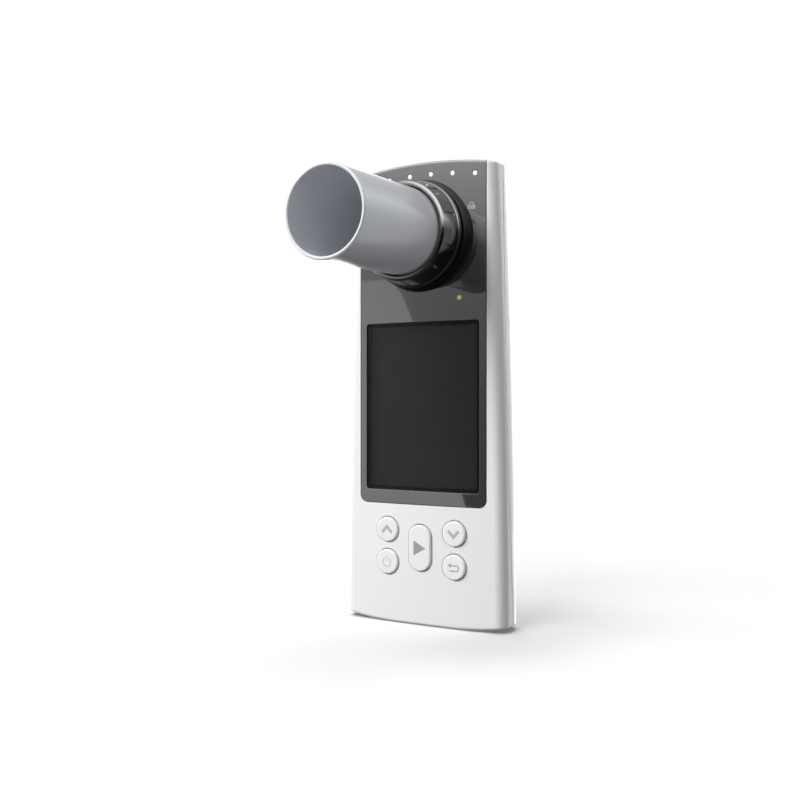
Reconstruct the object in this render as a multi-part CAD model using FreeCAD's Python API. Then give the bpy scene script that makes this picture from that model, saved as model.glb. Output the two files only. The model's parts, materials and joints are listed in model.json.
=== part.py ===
import FreeCAD, Part
import math
import os

# Hand-held turbine spirometer, in millimetres.
# X runs across the case, -Y is the front, where the breathing tube points, and +Z is up.
# The origin is the middle of the resting flat under the base, at half the case's depth.

V = FreeCAD.Vector
X_AXIS = V(1, 0, 0)
Y_AXIS = V(0, 1, 0)
Z_AXIS = V(0, 0, 1)

# Case
HEIGHT = 162.0
CASE_DEPTH = 18.0
BASE_WIDTH = 64.4
TOP_WIDTH = 56.4
SIDE_BULGE = 0.75
FOOT_WIDTH = 24.0
FOOT_SWEEP_RADIUS = 120.0
TOP_ARC_RADIUS = 175.0
FRONT_ARC_RADIUS = 390.0
FRONT_EDGE_RADIUS = 3.8
REAR_EDGE_RADIUS = 10.5
END_EDGE_RADIUS = 0.9
WALL = 2.0
SEAM_DEPTH = 5.0
SEAM_SWEEP_RADIUS = 1100.0
SEAM_GAP = 0.35
LIP_HEIGHT = 1.2
LIP_WALL = 0.8
FIT_GAP = 0.1
SEAT_SINK = 0.1

# Front lens and display
LENS_WIDTH = 50.5
LENS_FOOT = 42.2
LENS_THICK = 1.1
LENS_GAP = 0.3
LENS_CORNER_RADIUS = 2.6
LENS_SILL = 4.6
TAPE_THICK = 0.1
WINDOW_WIDTH = 45.6
WINDOW_TOP_GAP = 30.0
WINDOW_CORNER_RADIUS = 1.2
GLASS_THICK = 0.6
GASKET_THICK = 0.3
GASKET_RIM = 1.4
GASKET_OVERHANG = 0.6
LCD_SIDE_RIM = 2.2
LCD_END_RIM = 4.8
LCD_THICK = 1.3
LCD_CORNER_RADIUS = 0.5
FRAME_THICK = 1.8
FRAME_RIM = 1.0

# Breathing tube, its socket and the twist ring
TUBE_DROP = 25.8
TUBE_RADIUS = 15.0
TUBE_WALL = 1.2
TUBE_REACH = 58.1
TUBE_END_GAP = 0.7
TUBE_RIM_RADIUS = 0.5
SPIGOT_STEP = 0.2
SPIGOT_LEAD = 0.5
SOCKET_CLEAR = 0.35
SOCKET_WALL = 1.15
NECK_GAP = 0.2
SOCKET_TOE = 12.6
SOCKET_FLANGE_RADIUS = 19.5
SOCKET_FLANGE_THICK = 1.6
SLEEVE_RADIUS = 16.6
SLEEVE_GAP = 0.3
SEAL_SECTION = 0.8
SEAL_SEAT = 3.0
RING_FRONT = 14.0
RING_BACK = 4.0
RING_NOSE_RADIUS = 17.0
RING_GRIP_RADIUS = 18.0
RING_FLANGE_RADIUS = 18.6
RING_FLANGE_THICK = 1.1
RING_CLEAR = 0.25
RING_LIP = 0.8
RING_NOSE_CHAMFER = 0.7
RING_CHAMFER = 0.3
RING_MOUTH_GAP = 0.35
RING_SEGMENTS = 10
RING_FIRST_GROOVE = 17.0
RING_GROOVE_WIDTH = 0.7
RING_GROOVE_DEPTH = 0.35
RING_GROOVE_FRONT = 1.6
RING_GROOVE_BACK = 1.2
BEZEL_FOOT_RADIUS = 19.6
BEZEL_NOSE_RADIUS = 18.9
BEZEL_HEIGHT = 2.2
BEZEL_CHAMFER = 0.5

# Turbine inside the tube
STATOR_LENGTH = 5.0
STATOR_RIM = 0.6
STATOR_VANES = 6
STATOR_SWIRL = 40.0
TURBINE_STEP = 0.2
VANE_THICK = 0.7
VANE_INSET = 0.8
HUB_RADIUS = 2.6
HUB_NOSE = 2.0
BLADE_LENGTH = 6.5
BLADE_THICK = 0.4
BLADE_TIP_GAP = 1.2
BLADE_END_GAP = 1.2
AXLE_RADIUS = 0.5
BEARING_CLEAR = 0.06
BEARING_RADIUS = 1.5
BEARING_LENGTH = 2.4
BEARING_BORE = 1.7
AXLE_END_PLAY = 0.2

# Rear outlet
OUTLET_RADIUS = 15.0
GUARD_RADIUS = 17.2
GUARD_THICK = 1.2
GUARD_HUB_RADIUS = 2.2
GUARD_BAR = 1.2
GUARD_RINGS = 2
GUARD_SPOKES = 6

# Keys
KEY_SIDE = 13.44
KEY_UPPER_Z = 32.7
KEY_LOWER_Z = 21.2
KEY_RADIUS = 4.4
PLAY_WIDTH = 8.8
PLAY_HEIGHT = 16.2
KEY_PROUD = 0.75
KEY_EDGE_RADIUS = 0.6
KEY_GAP = 0.25
KEY_MOUTH = 0.35
KEY_FLANGE = 0.6
KEY_FLANGE_THICK = 0.8
KEY_SEAT_GAP = 0.15
SWITCH_SIZE = 5.2
SWITCH_THICK = 2.4
PLUNGER_RADIUS = 1.0
PLUNGER_BORE_DEPTH = 1.4
PLUNGER_SINK = 0.7

# Indicators
DOT_RADIUS = 0.75
DOT_EDGE = 4.55
DOT_PITCH = 8.5
DOT_COUNT = 6
STATUS_X = 15.3
STATUS_DROP = 22.2
STATUS_RADIUS = 0.8
LED_SIZE = 1.6
LED_THICK = 0.7
PIPE_GAP = 0.2

# Boards, battery and sockets
BOARD_DEPTH = 7.4
BOARD_THICK = 1.2
BOARD_EDGE_GAP = 0.5
BOARD_HOLE_GAP = 0.4
CHIP_ROOM = 1.8
CHIP_THICK = 1.0
CHIP_DROP = 28.2
CHIP_STEP = 13.0
CONTROLLER_SIZE = 10.0
DRIVER_SIZE = 7.0
MEMORY_SIZE = 5.0
CHARGER_SIZE = 5.0
RADIO_WIDTH = 12.0
RADIO_HEIGHT = 8.0
RADIO_Z = 14.0
BATTERY_WIDTH = 34.0
BATTERY_FOOT = 44.0
BATTERY_TOP_GAP = 7.5
PAD_THICK = 0.6
PAD_INSET = 3.0
SENSOR_SIZE = 2.2
SENSOR_LENGTH = 3.6
SENSOR_GAP = 0.25
SENSOR_COUNT = 4
USB_Z = 20.0
USB_WIDTH = 9.0
USB_HEIGHT = 3.2
USB_LENGTH = 7.5
USB_SHELL = 0.3
USB_INSET = 1.3
TONGUE_THICK = 0.7
TONGUE_WIDTH = 6.0
BUZZER_RADIUS = 4.5
BUZZER_THICK = 3.0
BUZZER_INSET = 12.3
BUZZER_DROP = 30.2

# Screws
CASE_SCREW_INSET = 9.4
CASE_SCREW_RISE = 9.0
CASE_SCREW_DROP = 12.0
BOARD_SCREW_INSET = 5.5
BOARD_SCREW_SILL = 4.8
BOARD_SCREW_DROP = 19.2
CASE_BOSS_RADIUS = 2.8
BOARD_BOSS_RADIUS = 2.2
SCREW_HEAD_RADIUS = 1.9
SCREW_HEAD_THICK = 1.2
SCREW_SHANK_RADIUS = 0.9
SCREW_BITE = 3.0
SCREW_FLOOR = 2.0
SCREW_CLEAR = 0.3
THREAD_GAP = 0.05
SHANK_GAP = 0.15
PILOT_FLOOR = 0.6
DRIVE_RADIUS = 0.9
DRIVE_DEPTH = 0.6
DRIVE_ARM = 0.3

# Places worked out from the sizes above
FRONT = -CASE_DEPTH / 2
BACK = CASE_DEPTH / 2
SEAM = FRONT + SEAM_DEPTH
MIDDLE_WIDTH = (BASE_WIDTH + TOP_WIDTH) / 2 + 2 * SIDE_BULGE
TUBE_Z = HEIGHT - TUBE_DROP
STATUS_Z = TUBE_Z - STATUS_DROP
LENS_BACK = LENS_THICK + TAPE_THICK
WINDOW_FOOT = LENS_FOOT + LENS_SILL
WINDOW_HEIGHT = TUBE_Z - WINDOW_TOP_GAP - WINDOW_FOOT
WINDOW_Z = WINDOW_FOOT + WINDOW_HEIGHT / 2
LCD_WIDTH = WINDOW_WIDTH + 2 * LCD_SIDE_RIM
LCD_HEIGHT = WINDOW_HEIGHT + 2 * LCD_END_RIM
SPAN = 2 * HEIGHT
OVERRUN = 20.0
BOARD_FRONT = FRONT + BOARD_DEPTH
BOARD_BACK = BOARD_FRONT + BOARD_THICK
BATTERY_BACK = BACK - WALL - PAD_THICK
BATTERY_FRONT = BOARD_BACK + CHIP_ROOM
BUZZER_Z = TUBE_Z - BUZZER_DROP
BATTERY_HEIGHT = BUZZER_Z - BUZZER_RADIUS - BATTERY_TOP_GAP - BATTERY_FOOT
SIDE_SAG = FRONT_ARC_RADIUS - math.sqrt(FRONT_ARC_RADIUS ** 2 - (LCD_WIDTH / 2) ** 2)
LCD_FRONT = FRONT + WALL + SIDE_SAG + FIT_GAP
FRAME_FRONT = LCD_FRONT + LCD_THICK
TUBE_MOUTH = FRONT - TUBE_REACH
TUBE_BORE_RADIUS = TUBE_RADIUS - TUBE_WALL
SPIGOT_RADIUS = TUBE_RADIUS - SPIGOT_STEP
SOCKET_BORE_RADIUS = SPIGOT_RADIUS + SOCKET_CLEAR
NECK_RADIUS = SOCKET_BORE_RADIUS + SOCKET_WALL
NECK_HOLE_RADIUS = NECK_RADIUS + NECK_GAP
NECK_END = FRONT - SOCKET_TOE
SLEEVE_END = BACK - WALL - SLEEVE_GAP
TUBE_END = SLEEVE_END - TUBE_END_GAP
SOCKET_SAG = FRONT_ARC_RADIUS - math.sqrt(FRONT_ARC_RADIUS ** 2 - SOCKET_FLANGE_RADIUS ** 2)
SEAT_FRONT = FRONT + WALL + SOCKET_SAG
SPIGOT_START = FRONT - RING_FRONT - SPIGOT_LEAD
TURBINE_BORE_RADIUS = TUBE_BORE_RADIUS + TURBINE_STEP
REAR_STATOR_START = TUBE_END - STATOR_LENGTH
BLADE_END = REAR_STATOR_START - BLADE_END_GAP
BLADE_START = BLADE_END - BLADE_LENGTH
FRONT_STATOR_END = BLADE_START - BLADE_END_GAP
TURBINE_START = FRONT_STATOR_END - STATOR_LENGTH
SEAL_Y = NECK_END + SEAL_SEAT
BLADE_MIDDLE = (BLADE_START + BLADE_END) / 2
KEYS = {
    "up": (-KEY_SIDE, KEY_UPPER_Z),
    "power": (-KEY_SIDE, KEY_LOWER_Z),
    "play": (0.0, (KEY_UPPER_Z + KEY_LOWER_Z) / 2),
    "down": (KEY_SIDE, KEY_UPPER_Z),
    "back": (KEY_SIDE, KEY_LOWER_Z),
}


# Small shape helpers

def rod(radius, x, z, front, back):
    """A cylinder along Y."""
    return Part.makeCylinder(radius, back - front, V(x, front, z), Y_AXIS)


def block(x, y, z):
    """A box from three (low, high) pairs."""
    size = [high - low for low, high in (x, y, z)]
    return Part.makeBox(size[0], size[1], size[2], V(x[0], y[0], z[0]))


def rounded_plate(width, height, radius, x, z, front, back):
    """A plate facing the front, with rounded corners; x, z is its middle."""
    plate = block((x - width / 2, x + width / 2), (front, back), (z - height / 2, z + height / 2))
    corners = [edge for edge in plate.Edges if edge.BoundBox.YLength > (back - front) / 2]
    return plate.makeFillet(min(radius, 0.499 * width, 0.499 * height), corners)


def revolved(profile):
    """Turn a closed profile of (radius, y) points about the tube's axis."""
    points = [V(radius, y, TUBE_Z) for radius, y in profile]
    face = Part.Face(Part.makePolygon(points + points[:1]))
    return face.revolve(V(0, 0, TUBE_Z), Y_AXIS, 360)


def about_tube(shape, degrees):
    """A copy of a shape turned about the tube's axis, counted from +X towards +Z."""
    turned = shape.copy()
    turned.rotate(V(0, 0, TUBE_Z), Y_AXIS, -degrees)
    return turned


# The case's outer form, and any wall set in from it

SIDE_ARC = Part.Arc(
    V(BASE_WIDTH / 2, 0, 0), V(MIDDLE_WIDTH / 2, 0, HEIGHT / 2), V(TOP_WIDTH / 2, 0, HEIGHT)
).toShape().Curve


def half_width(z, inset=0.0):
    """Half the width at a height, for a wall set in by inset."""
    reach = SIDE_ARC.Radius - inset
    return SIDE_ARC.Center.x + math.sqrt(reach ** 2 - (z - SIDE_ARC.Center.z) ** 2)


def front_drop(x, inset=0.0):
    """How far behind the crown the curved front lies at x."""
    reach = FRONT_ARC_RADIUS - inset
    return reach - math.sqrt(reach ** 2 - x ** 2)


def inside_front(inset):
    """Everything behind the curved front face, set in by inset."""
    centre = V(0, FRONT + FRONT_ARC_RADIUS, -OVERRUN)
    return Part.makeCylinder(FRONT_ARC_RADIUS - inset, HEIGHT + 2 * OVERRUN, centre, Z_AXIS)


def side_slab(inset):
    """The case between its two bowed sides, with the long edges rounded."""
    low, high = -OVERRUN / 2, HEIGHT + OVERRUN / 2
    heights = (low, HEIGHT / 2, high)
    front, back = FRONT - 1, BACK - inset
    right = [V(half_width(z, inset), front, z) for z in heights]
    left = [V(-half_width(z, inset), front, z) for z in reversed(heights)]
    outline = Part.Wire([
        Part.Arc(*right).toShape(),
        Part.makeLine(right[-1], left[0]),
        Part.Arc(*left).toShape(),
        Part.makeLine(left[-1], right[0]),
    ])
    slab = Part.Face(outline).extrude(V(0, back - front, 0)).common(inside_front(inset))
    front_edges = [edge for edge in slab.Edges
                   if edge.BoundBox.ZLength > HEIGHT and edge.BoundBox.YMax < 0]
    slab = slab.makeFillet(FRONT_EDGE_RADIUS - inset, front_edges)
    rear_edges = [edge for edge in slab.Edges
                  if edge.BoundBox.ZLength > HEIGHT and edge.BoundBox.YMin > back - 0.01]
    return slab.makeFillet(REAR_EDGE_RADIUS - inset, rear_edges)


def end_cut(inset):
    """The space between the base, with its resting flat, and the arched top."""
    reach = BASE_WIDTH
    foot = FOOT_WIDTH / 2
    sweep = FOOT_SWEEP_RADIUS - inset
    top_centre = HEIGHT - TOP_ARC_RADIUS
    top = TOP_ARC_RADIUS - inset

    def sweep_point(x):
        return V(x, 0, FOOT_SWEEP_RADIUS - math.sqrt(sweep ** 2 - (abs(x) - foot) ** 2))

    def top_point(x):
        return V(x, 0, top_centre + math.sqrt(top ** 2 - x ** 2))

    half = foot + (reach - foot) / 2
    outline = Part.Wire([
        Part.makeLine(V(-foot, 0, inset), V(foot, 0, inset)),
        Part.Arc(V(foot, 0, inset), sweep_point(half), sweep_point(reach)).toShape(),
        Part.makeLine(sweep_point(reach), top_point(reach)),
        Part.Arc(top_point(reach), top_point(0), top_point(-reach)).toShape(),
        Part.makeLine(top_point(-reach), sweep_point(-reach)),
        Part.Arc(sweep_point(-reach), sweep_point(-half), V(-foot, 0, inset)).toShape(),
    ])
    face = Part.Face(outline)
    face.translate(V(0, -CASE_DEPTH, 0))
    return face.extrude(V(0, 2 * CASE_DEPTH, 0))


def pod(inset):
    """The whole case as one solid, with every wall set in by inset."""
    body = side_slab(inset).common(end_cut(inset))
    edge_r = END_EDGE_RADIUS - inset
    if edge_r < 0.2:
        return body
    ends = [edge for edge in body.Edges
            if edge.BoundBox.ZMin > 0.8 * HEIGHT or
            (edge.BoundBox.ZMax < 0.2 * HEIGHT and edge.BoundBox.XLength > 0.01)]
    sides = [edge for edge in body.Edges
             if edge.BoundBox.ZMax < 0.2 * HEIGHT and edge.BoundBox.XMin > FOOT_WIDTH
             and edge.BoundBox.XLength <= 0.01]
    return body.makeFillet(edge_r, ends + sides)


OUTER = pod(0.0)
INNER = pod(WALL)


def behind(y):
    """Everything behind a plane across the case."""
    return block((-SPAN, SPAN), (y, y + SPAN), (-SPAN, SPAN))


def ahead(y):
    """Everything ahead of a plane across the case."""
    return block((-SPAN, SPAN), (y - SPAN, y), (-SPAN, SPAN))


def behind_seam(shift):
    """Everything behind the covers' parting surface, which bows forward at mid height."""
    centre = V(-SPAN, SEAM + shift + SEAM_SWEEP_RADIUS, HEIGHT / 2)
    return Part.makeCylinder(SEAM_SWEEP_RADIUS, 2 * SPAN, centre, X_AXIS)


def lens_block(grow):
    """The lens's outline, open at the top, grown all round by grow."""
    width = LENS_WIDTH + 2 * grow
    height = HEIGHT + OVERRUN - LENS_FOOT + grow
    middle = LENS_FOOT - grow + height / 2
    return rounded_plate(width, height, LENS_CORNER_RADIUS + grow, 0, middle,
                         FRONT - WALL, FRONT + 2 * WALL)


def window_plate(shrink, front, back):
    """A plate with the display window's outline, made smaller all round by shrink."""
    return rounded_plate(WINDOW_WIDTH - 2 * shrink, WINDOW_HEIGHT - 2 * shrink,
                         max(WINDOW_CORNER_RADIUS - shrink, 0.3), 0, WINDOW_Z, front, back)


def key_plate(name, grow, front, back):
    """A key's outline, round or oblong, grown by grow."""
    x, z = KEYS[name]
    if name == "play":
        width, height = PLAY_WIDTH + 2 * grow, PLAY_HEIGHT + 2 * grow
        return rounded_plate(width, height, width / 2, x, z, front, back)
    return rod(KEY_RADIUS + grow, x, z, front, back)


def key_hole(name):
    """The cutter for a key's hole, with a bevelled mouth square to the curved front."""
    x, z = KEYS[name]
    face = FRONT + front_drop(x)
    mouth = key_plate(name, KEY_GAP + KEY_MOUTH, face - WALL, face + 2 * KEY_MOUTH)
    rim = [edge for edge in mouth.Edges
           if edge.BoundBox.YMin > face and edge.BoundBox.YLength < 0.01]
    mouth = mouth.makeChamfer(2 * KEY_MOUTH, rim)
    mouth.rotate(V(x, face, z), Z_AXIS, math.degrees(math.asin(x / FRONT_ARC_RADIUS)))
    return mouth.fuse(key_plate(name, KEY_GAP, face - WALL, face + 2 * WALL))


def dot_places():
    """The row of indicator dots, parallel to the arched top."""
    places = []
    for index in range(DOT_COUNT):
        x = (index - (DOT_COUNT - 1) / 2) * DOT_PITCH
        reach = TOP_ARC_RADIUS - DOT_EDGE
        places.append((x, HEIGHT - TOP_ARC_RADIUS + math.sqrt(reach ** 2 - x ** 2)))
    return places


def screw_places(inset, low, high):
    """Two mirrored pairs of (x, z) places, set in from the bowed sides at two heights."""
    places = []
    for z in (low, high):
        x = half_width(z) - inset
        places += [(-x, z), (x, z)]
    return places


CASE_SCREWS = screw_places(CASE_SCREW_INSET, CASE_SCREW_RISE, HEIGHT - CASE_SCREW_DROP)
BOARD_SCREWS = screw_places(BOARD_SCREW_INSET, LENS_FOOT - BOARD_SCREW_SILL, TUBE_Z - BOARD_SCREW_DROP)


# Case parts

def make_front_cover():
    shell = OUTER.cut(INNER)
    cover = shell.cut(behind_seam(-SEAM_GAP / 2))
    rebate = pod(WALL - LIP_WALL - FIT_GAP).common(behind_seam(-LIP_HEIGHT - FIT_GAP))
    cover = cover.cut(rebate)
    cover = cover.cut(lens_block(LENS_GAP).cut(inside_front(LENS_BACK)))
    bosses = [rod(BOARD_BOSS_RADIUS, x, z, FRONT + WALL / 2, BOARD_FRONT) for x, z in BOARD_SCREWS]
    bosses += [rod(CASE_BOSS_RADIUS, x, z, FRONT + WALL / 2, BOARD_FRONT) for x, z in CASE_SCREWS]
    seat = rod(SOCKET_FLANGE_RADIUS, 0, TUBE_Z, FRONT + LENS_BACK + SEAT_SINK, SEAT_FRONT)
    ribs = seat.fuse(bosses).common(inside_front(LENS_BACK)).common(pod(WALL / 2))
    cover = cover.fuse(ribs)
    pilots = [rod(SCREW_SHANK_RADIUS + THREAD_GAP, x, z, FRONT + WALL + PILOT_FLOOR, BOARD_FRONT + 1)
              for x, z in BOARD_SCREWS + CASE_SCREWS]
    holes = [key_hole(name) for name in KEYS]
    holes.append(window_plate(GASKET_RIM - GASKET_OVERHANG, FRONT - 2, FRONT + 5))
    holes.append(rod(NECK_HOLE_RADIUS, 0, TUBE_Z, FRONT - 2, FRONT + 5))
    holes += [rod(DOT_RADIUS + FIT_GAP, x, z, FRONT - 2, FRONT + 5) for x, z in dot_places()]
    holes.append(rod(STATUS_RADIUS + FIT_GAP, STATUS_X, STATUS_Z, FRONT - 2, FRONT + 5))
    return cover.cut(pilots + holes).removeSplitter()


def make_rear_cover():
    shell = OUTER.cut(INNER).common(behind_seam(SEAM_GAP / 2))
    lip = pod(WALL - LIP_WALL).cut(INNER)
    lip = lip.common(behind_seam(-LIP_HEIGHT)).cut(behind_seam(SEAM_GAP + LIP_HEIGHT))
    cover = shell.fuse(lip)
    tube_front = BOARD_FRONT + FIT_GAP
    tubes = [rod(CASE_BOSS_RADIUS, x, z, tube_front, BACK - WALL / 2) for x, z in CASE_SCREWS]
    ribs = tubes[0].fuse(tubes[1:]).common(pod(WALL / 2))
    cover = cover.fuse(ribs)
    cuts = [rod(OUTLET_RADIUS, 0, TUBE_Z, 0, BACK + 1)]
    cuts.append(rod(GUARD_RADIUS + FIT_GAP, 0, TUBE_Z, BACK - GUARD_THICK, BACK + 1))
    for x, z in CASE_SCREWS:
        cuts.append(rod(SCREW_HEAD_RADIUS + SCREW_CLEAR, x, z, tube_front + SCREW_FLOOR, BACK + 1))
        cuts.append(rod(SCREW_SHANK_RADIUS + SHANK_GAP, x, z, tube_front - 1, BACK))
    slot = rounded_plate(USB_HEIGHT + 2 * FIT_GAP, USB_WIDTH + 2 * FIT_GAP, USB_HEIGHT / 2, 0, 0, 0,
                         3 * WALL)
    slot.rotate(V(0, 0, 0), Z_AXIS, 90)
    slot.translate(V(-half_width(USB_Z) + 2 * WALL, BOARD_BACK + USB_HEIGHT / 2, USB_Z))
    return cover.cut(cuts + [slot]).removeSplitter()


def make_lens_panel():
    lens = OUTER.common(lens_block(0)).cut(inside_front(LENS_THICK))
    holes = [window_plate(0, FRONT - 2, FRONT + 5)]
    holes.append(rod(NECK_HOLE_RADIUS, 0, TUBE_Z, FRONT - 2, FRONT + 5))
    holes += [rod(DOT_RADIUS + FIT_GAP, x, z, FRONT - 2, FRONT + 5) for x, z in dot_places()]
    holes.append(rod(STATUS_RADIUS + FIT_GAP, STATUS_X, STATUS_Z, FRONT - 2, FRONT + 5))
    return lens.cut(holes)


# Display stack

def curved_layer(plate, front_inset, back_inset):
    """The part of a plate between two curved faces parallel to the front."""
    return plate.common(inside_front(front_inset)).cut(inside_front(back_inset))


def make_display_glass():
    plate = window_plate(FIT_GAP, FRONT - 1, FRONT + 5)
    return curved_layer(plate, LENS_BACK - GASKET_THICK - GLASS_THICK, LENS_BACK - GASKET_THICK)


def make_display_gasket():
    plate = window_plate(FIT_GAP, FRONT - 1, FRONT + 5)
    plate = plate.cut(window_plate(GASKET_RIM, FRONT - 2, FRONT + 6))
    return curved_layer(plate, LENS_BACK - GASKET_THICK, LENS_BACK)


def make_display_panel():
    return rounded_plate(LCD_WIDTH, LCD_HEIGHT, LCD_CORNER_RADIUS, 0, WINDOW_Z, LCD_FRONT, FRAME_FRONT)


def make_display_frame():
    back = FRAME_FRONT + FRAME_THICK
    frame = rounded_plate(LCD_WIDTH, LCD_HEIGHT, LCD_CORNER_RADIUS, 0, WINDOW_Z, FRAME_FRONT, back)
    well = rounded_plate(LCD_WIDTH - 2 * FRAME_RIM, LCD_HEIGHT - 2 * FRAME_RIM, LCD_CORNER_RADIUS, 0,
                         WINDOW_Z, back - FRAME_THICK / 2, back + 1)
    return frame.cut(well)


# Tube, socket and ring

def make_tube_socket():
    flange_back = SEAT_FRONT + SOCKET_FLANGE_THICK
    socket = revolved([
        (SOCKET_BORE_RADIUS, NECK_END), (NECK_RADIUS, NECK_END), (NECK_RADIUS, SEAT_FRONT),
        (SOCKET_FLANGE_RADIUS, SEAT_FRONT), (SOCKET_FLANGE_RADIUS, flange_back),
        (SLEEVE_RADIUS, flange_back), (SLEEVE_RADIUS, SLEEVE_END), (SOCKET_BORE_RADIUS, SLEEVE_END)])
    groove_r = SPIGOT_RADIUS + FIT_GAP + SEAL_SECTION + FIT_GAP
    half = SEAL_SECTION / 2 + FIT_GAP
    groove = revolved([(SPIGOT_RADIUS, SEAL_Y - half), (groove_r, SEAL_Y - half),
                       (groove_r, SEAL_Y + half), (SPIGOT_RADIUS, SEAL_Y + half)])
    ports = [about_tube(Part.makeCylinder(SENSOR_SIZE / 2 + FIT_GAP, SLEEVE_RADIUS + SENSOR_LENGTH,
                                          V(0, BLADE_MIDDLE, TUBE_Z), X_AXIS), angle)
             for angle in sensor_angles()]
    return socket.cut([groove] + ports)


def sensor_angles():
    """Where the light gates stand round the tube."""
    return [360 * index / SENSOR_COUNT for index in range(SENSOR_COUNT)]


def make_tube_seal():
    """An eight-sided ring stands in for the round section."""
    radius = SEAL_SECTION / 2
    middle = SPIGOT_RADIUS + FIT_GAP + radius
    turns = [math.radians(45 * index) for index in range(8)]
    return revolved([(middle + radius * math.cos(turn), SEAL_Y + radius * math.sin(turn))
                     for turn in turns])


def make_bezel_ring():
    nose = FRONT - BEZEL_HEIGHT
    inner = NECK_RADIUS + FIT_GAP
    foot = FRONT + front_drop(BEZEL_FOOT_RADIUS) + 1
    ring = revolved([(inner, foot), (inner, nose), (BEZEL_NOSE_RADIUS - BEZEL_CHAMFER, nose),
                     (BEZEL_NOSE_RADIUS, nose + BEZEL_CHAMFER), (BEZEL_FOOT_RADIUS, FRONT),
                     (BEZEL_FOOT_RADIUS, foot)])
    return ring.cut(inside_front(0.0))


def make_grip_ring():
    front, back = FRONT - RING_FRONT, FRONT - RING_BACK
    inner = NECK_RADIUS + RING_CLEAR
    mouth = TUBE_RADIUS + RING_MOUTH_GAP
    flange = back - RING_FLANGE_THICK
    lip_back = front + RING_LIP
    break_edge = RING_CHAMFER
    ring = revolved([
        (mouth, front + break_edge), (mouth + break_edge, front),
        (RING_NOSE_RADIUS - RING_NOSE_CHAMFER, front), (RING_NOSE_RADIUS, front + RING_NOSE_CHAMFER),
        (RING_GRIP_RADIUS, flange - break_edge), (RING_FLANGE_RADIUS - break_edge, flange),
        (RING_FLANGE_RADIUS, flange + break_edge), (RING_FLANGE_RADIUS, back - break_edge),
        (RING_FLANGE_RADIUS - break_edge, back), (inner, back), (inner, lip_back), (mouth, lip_back)])
    cutter = block((RING_NOSE_RADIUS - RING_GROOVE_DEPTH, RING_FLANGE_RADIUS + 2),
                   (front + RING_GROOVE_FRONT, flange - RING_GROOVE_BACK),
                   (TUBE_Z - RING_GROOVE_WIDTH / 2, TUBE_Z + RING_GROOVE_WIDTH / 2))
    lean = math.degrees(math.atan2(RING_GRIP_RADIUS - RING_NOSE_RADIUS, flange - front))
    cutter.rotate(V(RING_NOSE_RADIUS - RING_GROOVE_DEPTH, front, TUBE_Z), Z_AXIS, -lean)
    pitch = 360 / RING_SEGMENTS
    grooves = [about_tube(cutter, RING_FIRST_GROOVE + pitch * index) for index in range(RING_SEGMENTS)]
    return ring.cut(grooves)


def make_flow_tube():
    mouth, end = TUBE_MOUTH, TUBE_END
    tube = revolved([
        (TUBE_BORE_RADIUS, mouth), (TUBE_RADIUS, mouth), (TUBE_RADIUS, SPIGOT_START),
        (SPIGOT_RADIUS, SPIGOT_START), (SPIGOT_RADIUS, end), (TURBINE_BORE_RADIUS, end),
        (TURBINE_BORE_RADIUS, TURBINE_START), (TUBE_BORE_RADIUS, TURBINE_START)])
    rim = [edge for edge in tube.Edges
           if edge.BoundBox.YMax < mouth + 0.01 and edge.BoundBox.YLength < 0.01]
    return tube.makeFillet(TUBE_RIM_RADIUS, rim)


def swirl_vane(start, length, swirl):
    """One stator vane: a thin radial strip that turns about the tube's axis on its way back."""
    sections = []
    steps = 2
    root, tip = 0.8 * HUB_RADIUS, stator_rim_r() + STATOR_RIM / 2
    low, high = TUBE_Z - VANE_THICK / 2, TUBE_Z + VANE_THICK / 2
    for step in range(steps + 1):
        share = step / steps
        y = start + length * share
        corners = [V(root, y, low), V(tip, y, low), V(tip, y, high), V(root, y, high)]
        sections.append(about_tube(Part.makePolygon(corners + corners[:1]), swirl * share))
    return Part.makeLoft(sections, True, True)


def stator_rim_r():
    """The inside radius of a stator's outer rim."""
    return TURBINE_BORE_RADIUS - FIT_GAP / 2 - STATOR_RIM


def make_stator(start, nose_first, swirl):
    """A stator: outer rim, hub with a rounded nose, and swirl vanes."""
    end = start + STATOR_LENGTH
    rim_out, rim_in = TURBINE_BORE_RADIUS - FIT_GAP / 2, stator_rim_r()
    rim = revolved([(rim_in, start), (rim_out, start), (rim_out, end), (rim_in, end)])
    nose_y, flat_y = (start, end) if nose_first else (end, start)
    inward = math.copysign(HUB_NOSE, flat_y - nose_y)
    turns = [math.radians(30 * step) for step in range(4)]
    hub = revolved([(HUB_RADIUS * math.sin(turn), nose_y + inward * (1 - math.cos(turn)))
                    for turn in turns] + [(HUB_RADIUS, flat_y), (0, flat_y)])
    blade = swirl_vane(start + VANE_INSET, STATOR_LENGTH - 2 * VANE_INSET, swirl)
    vanes = [about_tube(blade, 360 * index / STATOR_VANES) for index in range(STATOR_VANES)]
    stator = rim.fuse([hub] + vanes)
    if nose_first:
        pocket = rod(BEARING_RADIUS + FIT_GAP / 2, 0, TUBE_Z, end - BEARING_LENGTH, end + 1)
    else:
        pocket = rod(BEARING_RADIUS + FIT_GAP / 2, 0, TUBE_Z, start - 1, start + BEARING_LENGTH)
    return stator.cut(pocket)


def make_bearing(mouth, inward):
    """A jewel cup in a stator hub, with a blind hole for the axle's end."""
    far = mouth + inward * BEARING_LENGTH
    cup = rod(BEARING_RADIUS, 0, TUBE_Z, min(mouth, far), max(mouth, far))
    floor = mouth + inward * BEARING_BORE
    start = mouth - inward
    hole = rod(AXLE_RADIUS + BEARING_CLEAR, 0, TUBE_Z, min(start, floor), max(start, floor))
    return cup.cut(hole)


def make_rotor_axle():
    reach = BEARING_BORE - AXLE_END_PLAY
    return rod(AXLE_RADIUS, 0, TUBE_Z, FRONT_STATOR_END - reach, REAR_STATOR_START + reach)


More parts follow.
